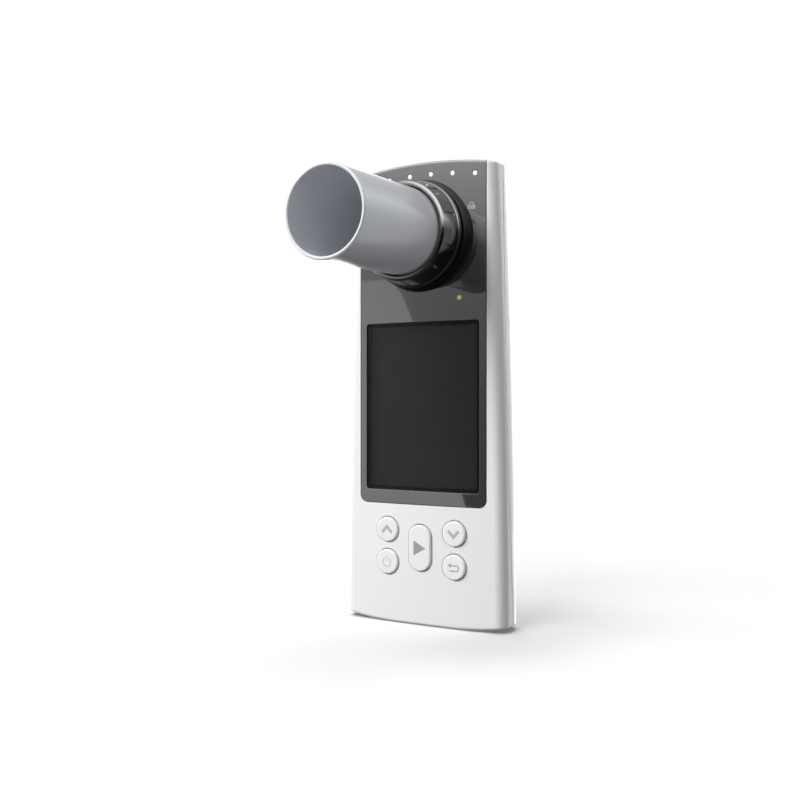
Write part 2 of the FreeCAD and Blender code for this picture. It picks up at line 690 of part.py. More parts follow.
def make_rotor_vane():
    tip = TURBINE_BORE_RADIUS - BLADE_TIP_GAP
    half = BLADE_THICK / 2
    blade = block((-tip, tip), (BLADE_START, BLADE_END), (TUBE_Z - half, TUBE_Z + half))
    boss = rod(2 * AXLE_RADIUS, 0, TUBE_Z, BLADE_START, BLADE_END)
    return blade.fuse(boss).cut(rod(AXLE_RADIUS, 0, TUBE_Z, BLADE_START - 1, BLADE_END + 1))


def make_outlet_guard():
    front = BACK - GUARD_THICK
    guard = revolved([(OUTLET_RADIUS - GUARD_BAR, front), (GUARD_RADIUS, front), (GUARD_RADIUS, BACK),
                      (OUTLET_RADIUS - GUARD_BAR, BACK)])
    hub = rod(GUARD_HUB_RADIUS, 0, TUBE_Z, front, BACK)
    bars = [hub]
    gap = (OUTLET_RADIUS - GUARD_BAR - GUARD_HUB_RADIUS - GUARD_RINGS * GUARD_BAR) / (GUARD_RINGS + 1)
    for index in range(GUARD_RINGS):
        inner = GUARD_HUB_RADIUS + (index + 1) * gap + index * GUARD_BAR
        bars.append(revolved([(inner, front), (inner + GUARD_BAR, front), (inner + GUARD_BAR, BACK),
                              (inner, BACK)]))
    spoke = block((GUARD_HUB_RADIUS / 2, OUTLET_RADIUS - GUARD_BAR / 2), (front, BACK),
                  (TUBE_Z - GUARD_BAR / 2, TUBE_Z + GUARD_BAR / 2))
    spokes = [about_tube(spoke, 90 + 360 * index / GUARD_SPOKES) for index in range(GUARD_SPOKES)]
    return guard.fuse(bars + spokes).removeSplitter()


# Keys and switches

def key_faces(name):
    """A key's top, the back of its flange, and the plunger's front, as y values."""
    x, _ = KEYS[name]
    face = FRONT + front_drop(x)
    flange = FRONT + WALL + front_drop(KEYS["down"][0] + KEY_RADIUS + KEY_FLANGE) + KEY_SEAT_GAP
    return face - KEY_PROUD, flange, flange + KEY_FLANGE_THICK


def make_key(name):
    top, flange, flange_back = key_faces(name)
    cap = key_plate(name, 0, top, flange_back)
    rim = [edge for edge in cap.Edges
           if edge.BoundBox.YMax < top + 0.01 and edge.BoundBox.YLength < 0.01]
    cap = cap.makeFillet(KEY_EDGE_RADIUS, rim)
    skirt = key_plate(name, KEY_FLANGE, flange, flange_back)
    return cap.fuse(skirt).removeSplitter()


def switch_front():
    return BOARD_FRONT - SWITCH_THICK


def make_plunger(name):
    x, z = KEYS[name]
    back = key_faces(name)[2]
    return rod(PLUNGER_RADIUS, x, z, back, switch_front() + PLUNGER_SINK)


def make_switches():
    bodies = []
    for x, z in KEYS.values():
        half = SWITCH_SIZE / 2
        body = block((x - half, x + half), (switch_front(), BOARD_FRONT), (z - half, z + half))
        floor = switch_front() + PLUNGER_BORE_DEPTH
        bore = rod(PLUNGER_RADIUS + KEY_GAP, x, z, switch_front() - 1, floor)
        bodies.append(body.cut(bore))
    return Part.makeCompound(bodies)


# Indicators

def light_pipe(x, z, radius):
    """A clear pin from the lens's face to just ahead of its lamp."""
    pin = rod(radius, x, z, FRONT - 1, BOARD_FRONT - LED_THICK - PIPE_GAP)
    return pin.common(inside_front(0.0))


def lamp(x, z):
    half = LED_SIZE / 2
    return block((x - half, x + half), (BOARD_FRONT - LED_THICK, BOARD_FRONT), (z - half, z + half))


# Boards, battery, sockets

def make_main_board():
    board = pod(WALL + BOARD_EDGE_GAP).common(behind(BOARD_FRONT)).common(ahead(BOARD_BACK))
    holes = [(0, TUBE_Z, SLEEVE_RADIUS + BOARD_HOLE_GAP)]
    holes += [(x, z, CASE_BOSS_RADIUS + BOARD_HOLE_GAP) for x, z in CASE_SCREWS]
    holes += [(x, z, SCREW_SHANK_RADIUS + SHANK_GAP) for x, z in BOARD_SCREWS]
    return board.cut([rod(radius, x, z, BOARD_FRONT - 1, BOARD_BACK + 1) for x, z, radius in holes])


def make_board_chips():
    """Flat chips on the board's back: controller, memory, charger, display driver and radio."""
    upper = TUBE_Z - CHIP_DROP
    chips = [
        (0, upper, CONTROLLER_SIZE, CONTROLLER_SIZE),
        (CHIP_STEP, upper, MEMORY_SIZE, MEMORY_SIZE),
        (CHIP_STEP, KEY_UPPER_Z, CHARGER_SIZE, CHARGER_SIZE),
        (-CHIP_STEP / 2, KEY_UPPER_Z, DRIVER_SIZE, DRIVER_SIZE),
        (0, RADIO_Z, RADIO_WIDTH, RADIO_HEIGHT),
    ]
    return Part.makeCompound([
        block((x - width / 2, x + width / 2), (BOARD_BACK, BOARD_BACK + CHIP_THICK),
              (z - height / 2, z + height / 2))
        for x, z, width, height in chips])


def make_buzzer():
    x = BUZZER_INSET - half_width(BUZZER_Z)
    return rod(BUZZER_RADIUS, x, BUZZER_Z, BOARD_BACK, BOARD_BACK + BUZZER_THICK)


def make_battery_pad():
    half = BATTERY_WIDTH / 2 - PAD_INSET
    return block((-half, half), (BATTERY_BACK, BACK - WALL),
                 (BATTERY_FOOT + PAD_INSET, BATTERY_FOOT + BATTERY_HEIGHT - PAD_INSET))


def make_battery_cell():
    cell = block((-BATTERY_WIDTH / 2, BATTERY_WIDTH / 2), (BATTERY_FRONT, BATTERY_BACK),
                 (BATTERY_FOOT, BATTERY_FOOT + BATTERY_HEIGHT))
    long_edges = [edge for edge in cell.Edges if edge.BoundBox.ZLength > BATTERY_HEIGHT / 2]
    return cell.makeFillet(0.3 * (BATTERY_BACK - BATTERY_FRONT), long_edges)


def make_usb_socket():
    """A metal socket shell on the board's back edge, with its tongue."""
    mouth = -half_width(USB_Z) + USB_INSET
    middle = BOARD_BACK + USB_HEIGHT / 2
    outer = rounded_plate(USB_HEIGHT, USB_WIDTH, USB_HEIGHT / 2.1, 0, 0, 0, USB_LENGTH)
    wall = 2 * USB_SHELL
    inner = rounded_plate(USB_HEIGHT - wall, USB_WIDTH - wall, (USB_HEIGHT - wall) / 2.1, 0, 0, -1,
                          USB_LENGTH - 1)
    tongue = block((-TONGUE_THICK / 2, TONGUE_THICK / 2), (1, USB_LENGTH),
                   (-TONGUE_WIDTH / 2, TONGUE_WIDTH / 2))
    shell = outer.cut(inner).fuse(tongue)
    shell.rotate(V(0, 0, 0), Z_AXIS, -90)
    shell.translate(V(mouth, middle, USB_Z))
    return shell


def make_flow_sensors():
    """Light gates that look through the sleeve at the rotor."""
    inner = SLEEVE_RADIUS + SENSOR_GAP
    half = SENSOR_SIZE / 2
    gate = block((inner, inner + SENSOR_LENGTH), (BLADE_MIDDLE - half, BOARD_FRONT),
                 (TUBE_Z - half, TUBE_Z + half))
    return Part.makeCompound([about_tube(gate, angle) for angle in sensor_angles()])


# Screws

def screw(x, z, head_front, length):
    """A pan screw that points to the front; its head lies behind head_front."""
    shank = rod(SCREW_SHANK_RADIUS, x, z, head_front - length, head_front)
    head = rod(SCREW_HEAD_RADIUS, x, z, head_front, head_front + SCREW_HEAD_THICK)
    top = head_front + SCREW_HEAD_THICK
    slots = [block((x - a, x + a), (top - DRIVE_DEPTH, top + 1), (z - b, z + b))
             for a, b in ((DRIVE_RADIUS, DRIVE_ARM), (DRIVE_ARM, DRIVE_RADIUS))]
    return shank.fuse(head).cut(slots)


def make_case_screws():
    floor = BOARD_FRONT + FIT_GAP + SCREW_FLOOR
    return Part.makeCompound([screw(x, z, floor, SCREW_FLOOR + SCREW_BITE) for x, z in CASE_SCREWS])


def make_board_screws():
    return Part.makeCompound([screw(x, z, BOARD_BACK, BOARD_THICK + SCREW_BITE)
                              for x, z in BOARD_SCREWS])


def build():
    """Every node by name."""
    nodes = {
        "front_cover": make_front_cover(),
        "rear_cover": make_rear_cover(),
        "lens_panel": make_lens_panel(),
        "display_glass": make_display_glass(),
        "display_gasket": make_display_gasket(),
        "display_panel": make_display_panel(),
        "display_frame": make_display_frame(),
        "tube_socket": make_tube_socket(),
        "tube_seal": make_tube_seal(),
        "bezel_ring": make_bezel_ring(),
        "grip_ring": make_grip_ring(),
        "flow_tube": make_flow_tube(),
        "front_stator": make_stator(TURBINE_START, True, STATOR_SWIRL),
        "rear_stator": make_stator(REAR_STATOR_START, False, -STATOR_SWIRL),
        "front_bearing": make_bearing(FRONT_STATOR_END, -1),
        "rear_bearing": make_bearing(REAR_STATOR_START, 1),
        "rotor_axle": make_rotor_axle(),
        "rotor_vane": make_rotor_vane(),
        "outlet_guard": make_outlet_guard(),
        "key_switches": make_switches(),
        "indicator_pipes": Part.makeCompound([light_pipe(x, z, DOT_RADIUS) for x, z in dot_places()]),
        "indicator_lamps": Part.makeCompound([lamp(x, z) for x, z in dot_places()]),
        "status_pipe": light_pipe(STATUS_X, STATUS_Z, STATUS_RADIUS),
        "status_lamp": lamp(STATUS_X, STATUS_Z),
        "main_board": make_main_board(),
        "board_chips": make_board_chips(),
        "battery_cell": make_battery_cell(),
        "battery_pad": make_battery_pad(),
        "usb_socket": make_usb_socket(),
        "buzzer": make_buzzer(),
        "flow_sensors": make_flow_sensors(),
        "case_screws": make_case_screws(),
        "board_screws": make_board_screws(),
    }
    for name in KEYS:
        nodes[name + "_key"] = make_key(name)
        nodes[name + "_plunger"] = make_plunger(name)
    return nodes


os.makedirs("parts", exist_ok=True)
for node, shape in build().items():
    shape.exportStep("parts/" + node + ".step")
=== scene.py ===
import bmesh
import bpy
import json
import math
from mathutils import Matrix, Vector


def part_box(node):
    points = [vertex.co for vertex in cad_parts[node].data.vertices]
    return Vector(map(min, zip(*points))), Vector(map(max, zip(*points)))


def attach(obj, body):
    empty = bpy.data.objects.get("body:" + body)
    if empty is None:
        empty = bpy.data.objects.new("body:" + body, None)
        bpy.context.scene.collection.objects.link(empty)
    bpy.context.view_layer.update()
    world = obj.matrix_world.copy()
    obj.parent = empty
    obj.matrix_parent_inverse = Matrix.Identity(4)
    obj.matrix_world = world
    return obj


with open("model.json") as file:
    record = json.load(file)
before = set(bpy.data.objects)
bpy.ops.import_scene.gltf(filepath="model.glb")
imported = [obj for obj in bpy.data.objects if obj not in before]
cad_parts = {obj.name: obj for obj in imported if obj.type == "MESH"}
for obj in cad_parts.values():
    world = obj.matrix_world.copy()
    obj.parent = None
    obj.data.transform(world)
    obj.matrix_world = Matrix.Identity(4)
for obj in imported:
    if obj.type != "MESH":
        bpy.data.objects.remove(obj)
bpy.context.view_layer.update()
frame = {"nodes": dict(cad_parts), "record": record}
NODES = frame["nodes"]
MM = 0.001


# Shader nodes

def new_node(tree, kind, **values):
    """A node with some of its inputs set. An underscore stands for a space in an input's name."""
    node = tree.nodes.new(kind)
    for name, value in values.items():
        node.inputs[name.replace("_", " ")].default_value = value
    return node


def feed(tree, value, socket):
    """Give an input a value, or link another node's output to it."""
    if isinstance(value, bpy.types.NodeSocket):
        tree.links.new(value, socket)
    else:
        socket.default_value = value


def noise(tree, place, scale, detail=3.0):
    node = new_node(tree, "ShaderNodeTexNoise", Scale=scale, Detail=detail)
    feed(tree, place, node.inputs["Vector"])
    return node.outputs["Fac"]


def ramp(tree, value, first, last, low=0.0, high=1.0, shape="SMOOTHSTEP"):
    """A number that runs from low to high while a value goes from first to last."""
    node = new_node(tree, "ShaderNodeMapRange", From_Min=first, From_Max=last, To_Min=low, To_Max=high)
    node.interpolation_type = shape
    feed(tree, value, node.inputs["Value"])
    return node.outputs["Result"]


def mixed(tree, factor, first, second, kind="FLOAT"):
    """A blend of two numbers, or of two colours if the kind is RGBA."""
    node = tree.nodes.new("ShaderNodeMix")
    node.data_type = kind
    feed(tree, factor, node.inputs["Factor"])
    feed(tree, first, node.inputs["A"])
    feed(tree, second, node.inputs["B"])
    return node.outputs["Result"]


def combined(tree, operation, first, second):
    node = tree.nodes.new("ShaderNodeMath")
    node.operation = operation
    feed(tree, first, node.inputs[0])
    feed(tree, second, node.inputs[1])
    return node.outputs["Value"]


def empty_tree(owner):
    """The cleared node tree of a material or a world."""
    owner.use_nodes = True
    owner.node_tree.nodes.clear()
    return owner.node_tree


# Materials: each has its own grain, tone and gloss variation

MOTTLE_SCALE = 90.0
MOTTLE_DETAIL = 4.0
HAZE_SCALE = 240.0
HAZE_DETAIL = 5.0
EDGE_SAMPLES = 4


def surface(name, colour, roughness, grain=2600.0, depth=0.004, tone=0.04, gloss=0.05, edge=0.0, **sockets):
    """A plastic, metal or glass finish. grain is the bump's scale and depth its height in mm, tone and
    gloss are how far colour and roughness vary, and edge is the radius in mm that sharp edges get."""
    material = bpy.data.materials.new(name)
    material.use_nodes = True
    tree = material.node_tree
    shader = tree.nodes["Principled BSDF"]
    for socket, value in sockets.items():
        shader.inputs[socket.replace("_", " ")].default_value = value
    place = tree.nodes.new("ShaderNodeTexCoord").outputs["Object"]

    darker = [(1 - tone) * part for part in colour] + [1.0]
    paler = [min(1.0, (1 + tone) * part) for part in colour] + [1.0]
    mottle = noise(tree, place, MOTTLE_SCALE, MOTTLE_DETAIL)
    feed(tree, mixed(tree, mottle, darker, paler, "RGBA"), shader.inputs["Base Color"])

    haze = noise(tree, place, HAZE_SCALE, HAZE_DETAIL)
    smoothest = max(0.0, roughness - gloss)
    roughest = min(1.0, roughness + gloss)
    feed(tree, ramp(tree, haze, 0.0, 1.0, smoothest, roughest, "LINEAR"), shader.inputs["Roughness"])

    bump = new_node(tree, "ShaderNodeBump", Strength=1.0, Distance=depth * MM)
    feed(tree, noise(tree, place, grain), bump.inputs["Height"])
    if edge:
        rounding = new_node(tree, "ShaderNodeBevel", Radius=edge * MM)
        rounding.samples = EDGE_SAMPLES
        feed(tree, rounding.outputs["Normal"], bump.inputs["Normal"])
    feed(tree, bump.outputs["Normal"], shader.inputs["Normal"])
    return material


FINISHES = {
    "case_white": dict(colour=(0.84, 0.845, 0.85), roughness=0.34, grain=2400.0, depth=0.0012, tone=0.012,
                       edge=0.3),
    "key_white": dict(colour=(0.86, 0.865, 0.87), roughness=0.28, grain=2400.0, depth=0.0008, tone=0.012,
                      edge=0.15),
    "lens_grey": dict(colour=(0.028, 0.029, 0.031), roughness=0.05, grain=900.0, depth=0.0002, tone=0.05,
                      gloss=0.02, edge=0.45, IOR=1.6, Coat_Weight=1.0, Coat_Roughness=0.012, Coat_IOR=1.65),
    "clear_glass": dict(colour=(0.012, 0.012, 0.013), roughness=0.2, grain=700.0, depth=0.0002, tone=0.05,
                        gloss=0.03, edge=0.1, IOR=1.3, Alpha=0.42),
    "gasket_black": dict(colour=(0.006, 0.006, 0.006), roughness=0.6, IOR=1.2),
    # lcd_dark's faint emission is painted light: a glow that stands in for light reaching the dark screen
    # behind its glass
    "lcd_dark": dict(colour=(0.045, 0.045, 0.046), roughness=0.35, grain=3500.0, depth=0.0005, tone=0.06,
                     Emission_Color=(1, 1, 1, 1), Emission_Strength=0.014),
    "frame_white": dict(colour=(0.75, 0.75, 0.75), roughness=0.5),
    "socket_black": dict(colour=(0.008, 0.008, 0.009), roughness=0.4, edge=0.1, IOR=1.25),
    "seal_rubber": dict(colour=(0.03, 0.03, 0.03), roughness=0.65),
    "ring_black": dict(colour=(0.18, 0.175, 0.175), roughness=0.13, grain=1800.0, depth=0.0008, tone=0.1,
                       gloss=0.04, edge=0.22),
    # tube_blue_grey's faint emission is painted light: a glow that brightens the tube's shaded inside
    "tube_blue_grey": dict(colour=(0.58, 0.605, 0.64), roughness=0.35, grain=1500.0, depth=0.0006, tone=0.02,
                           gloss=0.03, edge=0.2, Coat_Weight=0.5, Coat_Roughness=0.06,
                           Emission_Color=(0.95, 0.97, 1, 1), Emission_Strength=0.025),
    "turbine_clear": dict(colour=(0.62, 0.66, 0.7), roughness=0.2, Transmission_Weight=0.5),
    "jewel": dict(colour=(0.55, 0.05, 0.08), roughness=0.1),
    "axle_steel": dict(colour=(0.6, 0.6, 0.62), roughness=0.25, Metallic=1.0),
    "blade_film": dict(colour=(0.03, 0.03, 0.03), roughness=0.4),
    "guard_grey": dict(colour=(0.13, 0.13, 0.135), roughness=0.5, grain=3000.0, depth=0.006, tone=0.06,
                       edge=0.15),
    "switch_metal": dict(colour=(0.6, 0.6, 0.6), roughness=0.3, Metallic=1.0),
    "plunger_black": dict(colour=(0.03, 0.03, 0.03), roughness=0.4),
    "pipe_white": dict(colour=(0.93, 0.94, 0.95), roughness=0.25, tone=0.01, Emission_Color=(1, 1, 1, 1),
                       Emission_Strength=0.15),
    "status_green": dict(colour=(0.45, 0.52, 0.12), roughness=0.3, Emission_Color=(0.62, 0.72, 0.16, 1),
                         Emission_Strength=0.25),
    "lamp_white": dict(colour=(0.8, 0.78, 0.55), roughness=0.4),
    "board_green": dict(colour=(0.02, 0.14, 0.06), roughness=0.35, grain=500.0, depth=0.01, tone=0.25),
    "chip_black": dict(colour=(0.025, 0.025, 0.025), roughness=0.5),
    "battery_wrap": dict(colour=(0.6, 0.61, 0.62), roughness=0.3, grain=300.0, depth=0.03, Metallic=0.8),
    "pad_foam": dict(colour=(0.06, 0.06, 0.06), roughness=0.9, grain=4000.0, depth=0.05),
    "usb_metal": dict(colour=(0.6, 0.6, 0.62), roughness=0.28, Metallic=1.0),
    "buzzer_black": dict(colour=(0.02, 0.02, 0.02), roughness=0.5),
    "sensor_dark": dict(colour=(0.03, 0.015, 0.035), roughness=0.3),
    "screw_steel": dict(colour=(0.5, 0.5, 0.52), roughness=0.3, Metallic=1.0),
    "ink_grey": dict(colour=(0.33, 0.33, 0.34), roughness=0.5),
    "ink_soft": dict(colour=(0.45, 0.45, 0.46), roughness=0.5),
    "ink_pale": dict(colour=(0.62, 0.62, 0.63), roughness=0.5),
    "lock_grey": dict(colour=(0.4, 0.4, 0.41), roughness=0.5),
}
MATERIALS = {name: surface(name, **finish) for name, finish in FINISHES.items()}


def along_tube(tree, first, last, low=0.0, high=1.0):
    """A number that runs from low to high between two places, in mm, on the tube's axis."""
    parts = tree.nodes.new("ShaderNodeSeparateXYZ")
    feed(tree, tree.nodes.new("ShaderNodeTexCoord").outputs["Object"], parts.inputs[0])
    return ramp(tree, parts.outputs["Y"], first * MM, last * MM, low, high, "LINEAR")


def tint_along(material, colour, first, last):
    """Turn a material's colour into another between two places on the tube's axis."""
    tree = material.node_tree
    base = tree.nodes["Principled BSDF"].inputs["Base Color"]
    plain = base.links[0].from_socket
    feed(tree, mixed(tree, along_tube(tree, first, last), plain, colour, "RGBA"), base)


MATT_BLACK = (0.01, 0.01, 0.01, 1)
MATT_ROUGHER = 0.3
MATT_METALLIC = 0.1
FLANGE_BLUR = 0.1


def matt_flange(material, edge):
    """Dark chrome before a place on the tube's axis, and matt black behind it."""
    first = edge - FLANGE_BLUR
    last = edge + FLANGE_BLUR
    tint_along(material, MATT_BLACK, first, last)
    tree = material.node_tree
    shader = tree.nodes["Principled BSDF"]
    plain = shader.inputs["Roughness"].links[0].from_socket
    rougher = along_tube(tree, first, last, high=MATT_ROUGHER)
    feed(tree, combined(tree, "ADD", plain, rougher), shader.inputs["Roughness"])
    feed(tree, along_tube(tree, first, last, 1.0, MATT_METALLIC), shader.inputs["Metallic"])


MOUTH_HIGHLIGHT_COLOUR = (0.72, 0.73, 0.75, 1)
MOUTH_HIGHLIGHT_DEPTH = 0.4
FLANGE_DEPTH = 1.2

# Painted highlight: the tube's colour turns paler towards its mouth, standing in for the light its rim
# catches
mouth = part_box("flow_tube")[0].y / MM
tint_along(MATERIALS["tube_blue_grey"], MOUTH_HIGHLIGHT_COLOUR, mouth + MOUTH_HIGHLIGHT_DEPTH, mouth)
ring_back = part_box("grip_ring")[1].y / MM
matt_flange(MATERIALS["ring_black"], ring_back - FLANGE_DEPTH)

for row in frame["record"]["subparts"]:
    mesh = NODES[row["node"]].data
    mesh.materials.clear()
    mesh.materials.append(MATERIALS[row["material_slot"]])


# Printed marks: thin closed solids that lie on the part they are printed on

PRINT_DEPTH = 0.03
WELD_M = 1e-7
SHARPEST_BEND = 0.4


def arc(x, z, radius, first, last, steps=12):
    """Points on an arc, angles in degrees from +X towards +Z."""
    turns = [math.radians(first + (last - first) * index / steps) for index in range(steps + 1)]
    return [(x + radius * math.cos(turn), z + radius * math.sin(turn)) for turn in turns]


def band(points, width):
    """The quads of a stroke of even width along a line of points."""
    line = [Vector(point) for point in points]
    sides = []
    for index, point in enumerate(line):
        before = (point - line[max(index - 1, 0)]).normalized()
        after = (line[min(index + 1, len(line) - 1)] - point).normalized()
        along = (before + after).normalized()
        across = Vector((-along.y, along.x))
        bend = max(SHARPEST_BEND, abs(along.dot(after if after.length else before)))
        sides.append((point + across * width / 2 / bend, point - across * width / 2 / bend))
    return [(sides[i][0], sides[i][1], sides[i + 1][1], sides[i + 1][0]) for i in range(len(sides) - 1)]


def mark(name, faces, centre, surface_y, body, material):
    """A printed mark from faces in mm about its centre, on the surface whose y at each x is given."""
    build = bmesh.new()
    for face in faces:
        spots = [(centre[0] + x, centre[1] + z) for x, z in face]
        corners = [build.verts.new((x * MM, surface_y(x) * MM, z * MM)) for x, z in spots]
        build.faces.new(corners)
    bmesh.ops.remove_doubles(build, verts=build.verts, dist=WELD_M)
    raised = bmesh.ops.extrude_face_region(build, geom=build.faces[:])
    top = [item for item in raised["geom"] if isinstance(item, bmesh.types.BMVert)]
    bmesh.ops.translate(build, verts=top, vec=(0, -PRINT_DEPTH * MM, 0))
    bmesh.ops.recalc_face_normals(build, faces=build.faces)
    mesh = bpy.data.meshes.new(name)
    build.to_mesh(mesh)
    build.free()
    mesh.materials.append(MATERIALS[material])
    piece = bpy.data.objects.new(name, mesh)
    bpy.context.scene.collection.objects.link(piece)
    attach(piece, body)


def key_spot(name):
    """The middle (x, z) and the front face's y of a key, in mm."""
    low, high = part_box(name + "_key")
    return ((low.x + high.x) / 2 / MM, (low.z + high.z) / 2 / MM), low.y / MM


def key_mark(name, faces, material="ink_soft"):
    centre, y = key_spot(name)
    mark(name + "_symbol", faces, centre, lambda x: y, name + "_button", material)


ARROW_STROKE = 1.0
POWER_STROKE = 0.45
RETURN_STROKE = 0.5
CHEVRON = [(-2.0, -1.1), (0.0, 1.1), (2.0, -1.1)]
PLAY_ARROW = [(-2.3, 2.6), (-2.3, -2.6), (2.5, 0.0)]
POWER_RING = arc(0, -0.1, 1.6, 125, 415, 24)
POWER_BAR = [(0, 0.3), (0, 2.1)]
RETURN_LINE = [(-1.2, 0.7), (1.1, 0.7)] + arc(1.1, -0.25, 0.95, 80, -80, 8) + [(1.1, -1.2), (-1.5, -1.2)]
RETURN_HEAD = [(-2.3, 0.7), (-1.0, 1.6), (-1.0, -0.2)]
key_mark("up", band(CHEVRON, ARROW_STROKE))
key_mark("down", band([(x, -z) for x, z in CHEVRON], ARROW_STROKE))
key_mark("play", [PLAY_ARROW], "ink_grey")
key_mark("power", band(POWER_RING, POWER_STROKE) + band(POWER_BAR, POWER_STROKE), "ink_pale")
key_mark("back", band(RETURN_LINE, RETURN_STROKE) + [RETURN_HEAD])

FRONT_ARC_MM = 390.0
CROWN_MM = -9.0


def front_y(x):
    """The curved front's y at x, in mm."""
    return CROWN_MM + FRONT_ARC_MM - math.sqrt(FRONT_ARC_MM ** 2 - x ** 2)


LOCK_SPOT = (19.9, 144.8)
LOCK_STROKE = 0.4
LOCK_BODY = [(-1.5, -0.9), (1.5, -0.9), (1.5, 0.5), (-1.5, 0.5)]
LOCK_SHACKLE = band(arc(0, 0.5, 0.9, 0, 180, 8), LOCK_STROKE)
mark("lock_symbol", [LOCK_BODY] + LOCK_SHACKLE, LOCK_SPOT, front_y, "case", "lock_grey")

DOT_SPOT = (20.3, 48.6)
DOT = arc(0, 0, 0.45, 0, 337.5, 15)
display_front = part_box("display_panel")[0].y / MM
mark("sensor_spot", [DOT], DOT_SPOT, lambda x: display_front, "case", "gasket_black")


# Stage

FLOOR_HALF_M = 4.0
FLOOR_DROP_M = 0.0002
FLOOR_COLOUR = (0.9, 0.895, 0.89, 1)
FADE_FIRST_M = 0.04
FADE_LAST_M = 0.2


def stage_plane(name, corners, material):
    mesh = bpy.data.meshes.new(name)
    mesh.from_pydata(corners, [], [tuple(range(len(corners)))])
    mesh.materials.append(material)
    plane = bpy.data.objects.new(name, mesh)
    bpy.context.scene.collection.objects.link(plane)
    return plane


def floor_material():
    """A pale floor that fades to plain white away from the object."""
    material = bpy.data.materials.new("floor")
    tree = empty_tree(material)
    reach = tree.nodes.new("ShaderNodeVectorMath")
    reach.operation = "LENGTH"
    feed(tree, tree.nodes.new("ShaderNodeTexCoord").outputs["Object"], reach.inputs[0])
    matt = new_node(tree, "ShaderNodeBsdfDiffuse", Color=FLOOR_COLOUR)
    white = new_node(tree, "ShaderNodeEmission", Color=(1, 1, 1, 1), Strength=1.0)
    mix = tree.nodes.new("ShaderNodeMixShader")
    feed(tree, ramp(tree, reach.outputs["Value"], FADE_FIRST_M, FADE_LAST_M), mix.inputs["Fac"])
    feed(tree, matt.outputs["BSDF"], mix.inputs[1])
    feed(tree, white.outputs["Emission"], mix.inputs[2])
    out = tree.nodes.new("ShaderNodeOutputMaterial")
    feed(tree, mix.outputs["Shader"], out.inputs["Surface"])
    return material


def add_floor():
    signs = [(-1, -1), (1, -1), (1, 1), (-1, 1)]
    corners = [(x * FLOOR_HALF_M, y * FLOOR_HALF_M, 0) for x, y in signs]
    plane = stage_plane("floor", corners, floor_material())
    plane.location.z = -FLOOR_DROP_M
    plane.visible_diffuse = False
    plane.visible_glossy = False
    return plane


floor = add_floor()

CARD_COLOUR = (0.97, 0.99, 1.0, 1)
CARD_TURN_DEG = 32.0
CARD_FOOT = (0, -0.009, 0.0788)
SWOOSH_LEVEL = 1.25
SWOOSH = [(0.6, -0.5), (-0.56, -0.56), (-0.179, -0.138), (-0.022, 0.08), (0.007, 0.112), (0.02, 0.124),
          (0.036, 0.138), (0.057, 0.148), (0.09, 0.156), (0.6, 0.16)]


def card_material(name, strength):
    material = bpy.data.materials.new(name)
    tree = empty_tree(material)
    glow = new_node(tree, "ShaderNodeEmission", Color=CARD_COLOUR, Strength=strength)
    out = tree.nodes.new("ShaderNodeOutputMaterial")
    feed(tree, glow.outputs["Emission"], out.inputs["Surface"])
    return material


def reflected_card(name, points, strength):
    """A bright card that only shows in reflections, 1 m ahead of the panel and turned to the left.
    Its points are (u, v): metres to the left and up."""
    turn = math.radians(CARD_TURN_DEG)
    ahead = Vector((-math.sin(turn), -math.cos(turn), 0))
    left = Vector((-math.cos(turn), math.sin(turn), 0))
    corners = [Vector(CARD_FOOT) + ahead + left * u + Vector((0, 0, v)) for u, v in points]
    card = stage_plane(name, corners, card_material(name, strength))
    card.visible_camera = False
    card.visible_diffuse = False
    card.visible_shadow = False
    card.visible_transmission = False


reflected_card("swoosh_card", SWOOSH, SWOOSH_LEVEL)


# World: white to the camera, soft ambient light, and a studio of bright and dark zones in reflections

# The studio ahead, as (sine of the elevation, brightness). Its colour ramp holds shares of LEVEL_SCALE
LEVEL_SCALE = 5.0
AHEAD_LEVELS = [(-0.3, 0.08), (-0.1, 0.12), (0.0, 0.26), (0.09, 0.55), (0.15, 0.9), (0.19, 1.36),
                (0.23, 1.9), (0.4, 2.8), (0.65, 3.6), (0.9, 4.2)]

# Ramps (first, last, low, high) over a direction's x, which is right, its y, behind, or its z, up
AMBIENT_BY_UP = (-0.6, 0.4, 0.18, 0.34)
BEHIND_BY_BACK = (-0.1, 0.35, 0.0, 1.0)
RAISED_BY_UP = (0.2, 0.5, 0.0, 1.0)
STRIP_BY_UP = (-0.4, -0.25, 0.0, 1.0)
STRIP_BY_RIGHT = (0.0, 0.35, 3.0, 0.9)
UNDER_STRIP = 0.9
REAR_TOP_BY_RIGHT = (0.08, 0.6, 0.7, 2.8)
SIDE_BY_RIGHT = (0.3, 0.9, 0.0, 1.0)
SIDE_SHADE_BY_UP = (0.05, 0.5, 0.15, 1.25)


def studio_levels(tree, rise):
    """How bright the studio ahead is, by the sine of the elevation."""
    curve = tree.nodes.new("ShaderNodeValToRGB")
    stops = curve.color_ramp.elements
    for index, (sine, level) in enumerate(AHEAD_LEVELS):
        stop = stops[index] if index < len(stops) else stops.new(1.0)
        stop.position = (sine + 1) / 2
        stop.color = [level / LEVEL_SCALE] * 3 + [1.0]
    feed(tree, ramp(tree, rise, -1.0, 1.0, shape="LINEAR"), curve.inputs["Fac"])
    return combined(tree, "MULTIPLY", curve.outputs["Color"], LEVEL_SCALE)


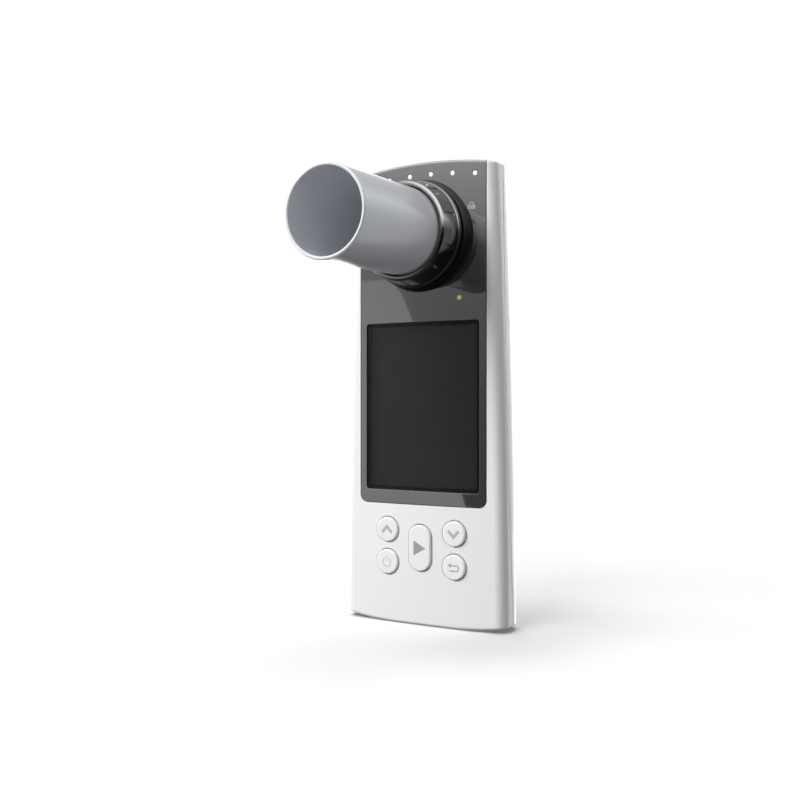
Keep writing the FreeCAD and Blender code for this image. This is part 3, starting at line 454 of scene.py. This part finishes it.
def mirrored_studio(tree, right, back, up):
    """How bright reflections are in each direction."""
    ahead = studio_levels(tree, up)
    strip = mixed(tree, ramp(tree, up, *STRIP_BY_UP), UNDER_STRIP, ramp(tree, right, *STRIP_BY_RIGHT))
    rear_top = ramp(tree, right, *REAR_TOP_BY_RIGHT)
    rear = mixed(tree, ramp(tree, up, *RAISED_BY_UP), strip, rear_top)
    room = mixed(tree, ramp(tree, back, *BEHIND_BY_BACK), ahead, rear)
    side_shade = ramp(tree, up, *SIDE_SHADE_BY_UP)
    shade = mixed(tree, ramp(tree, right, *SIDE_BY_RIGHT), 1.0, side_shade)
    return combined(tree, "MULTIPLY", room, shade)


def paint_world():
    world = bpy.data.worlds.new("studio")
    bpy.context.scene.world = world
    tree = empty_tree(world)
    path = tree.nodes.new("ShaderNodeLightPath")
    split = tree.nodes.new("ShaderNodeSeparateXYZ")
    feed(tree, tree.nodes.new("ShaderNodeTexCoord").outputs["Generated"], split.inputs[0])
    right, back, up = (split.outputs[axis] for axis in "XYZ")

    mirrored = mirrored_studio(tree, right, back, up)
    ambient = ramp(tree, up, *AMBIENT_BY_UP)
    lit = mixed(tree, path.outputs["Is Glossy Ray"], ambient, mirrored)
    seen = combined(tree, "MAXIMUM", path.outputs["Is Camera Ray"], path.outputs["Is Transmission Ray"])
    backdrop = new_node(tree, "ShaderNodeBackground", Color=(1, 1, 1, 1))
    feed(tree, mixed(tree, seen, lit, 1.0), backdrop.inputs["Strength"])
    out = tree.nodes.new("ShaderNodeOutputWorld")
    feed(tree, backdrop.outputs["Background"], out.inputs["Surface"])


paint_world()


# Lamps, as (name, place, size in metres, power in watts, link). INCLUDE lights only the floor, and
# EXCLUDE all but the floor

LAMP_AIM = (0, 0, 0.08)
LAMPS = [
    ("key_lamp", (-0.75, -0.85, 0.75), 0.9, 21.0, "EXCLUDE"),
    ("rim_lamp", (0.35, 1.1, 0.3), 0.6, 9.5, "EXCLUDE"),
    ("side_lamp", (1.0, -0.45, 0.5), 0.8, 1.2, "EXCLUDE"),
    ("front_lamp", (-0.1, -0.9, 0.85), 0.6, 6.5, "INCLUDE"),
    ("left_lamp", (-0.32, -0.25, 1.15), 0.35, 4.8, "INCLUDE"),
    ("top_lamp", (-0.05, 0.2, 1.2), 0.5, 4.2, "INCLUDE"),
]


def area_lamp(name, place, size, power):
    """A soft square lamp that points at the middle of the object."""
    data = bpy.data.lights.new(name, "AREA")
    data.size = size
    data.energy = power
    lamp = bpy.data.objects.new(name, data)
    bpy.context.scene.collection.objects.link(lamp)
    lamp.location = place
    aim = Vector(LAMP_AIM) - Vector(place)
    lamp.rotation_euler = aim.to_track_quat("-Z", "Y").to_euler()
    lamp.visible_glossy = False
    lamp.visible_camera = False
    return lamp


def link_floor(lamp, state):
    group = bpy.data.collections.new(lamp.name + "_floor")
    group.objects.link(floor)
    for row in group.collection_objects:
        row.light_linking.link_state = state
    lamp.light_linking.receiver_collection = group


for name, place, size, power, state in LAMPS:
    link_floor(area_lamp(name, place, size, power), state)


# Camera

LENS_MM = 47.27
SENSOR_MM = 36.0
NEAREST_M = 0.01
CAMERA_PLACE = (0.1857, -0.3267, 0.0788)
CAMERA_TILT_DEG = 90.0
CAMERA_TURN_DEG = 31.41


def add_camera():
    data = bpy.data.cameras.new("photo_camera")
    data.sensor_width = SENSOR_MM
    data.lens = LENS_MM
    data.clip_start = NEAREST_M
    camera = bpy.data.objects.new("photo_camera", data)
    bpy.context.scene.collection.objects.link(camera)
    camera.location = CAMERA_PLACE
    camera.rotation_euler = (math.radians(CAMERA_TILT_DEG), 0, math.radians(CAMERA_TURN_DEG))
    bpy.context.scene.camera = camera


add_camera()
bpy.context.scene.view_settings.view_transform = "Standard"
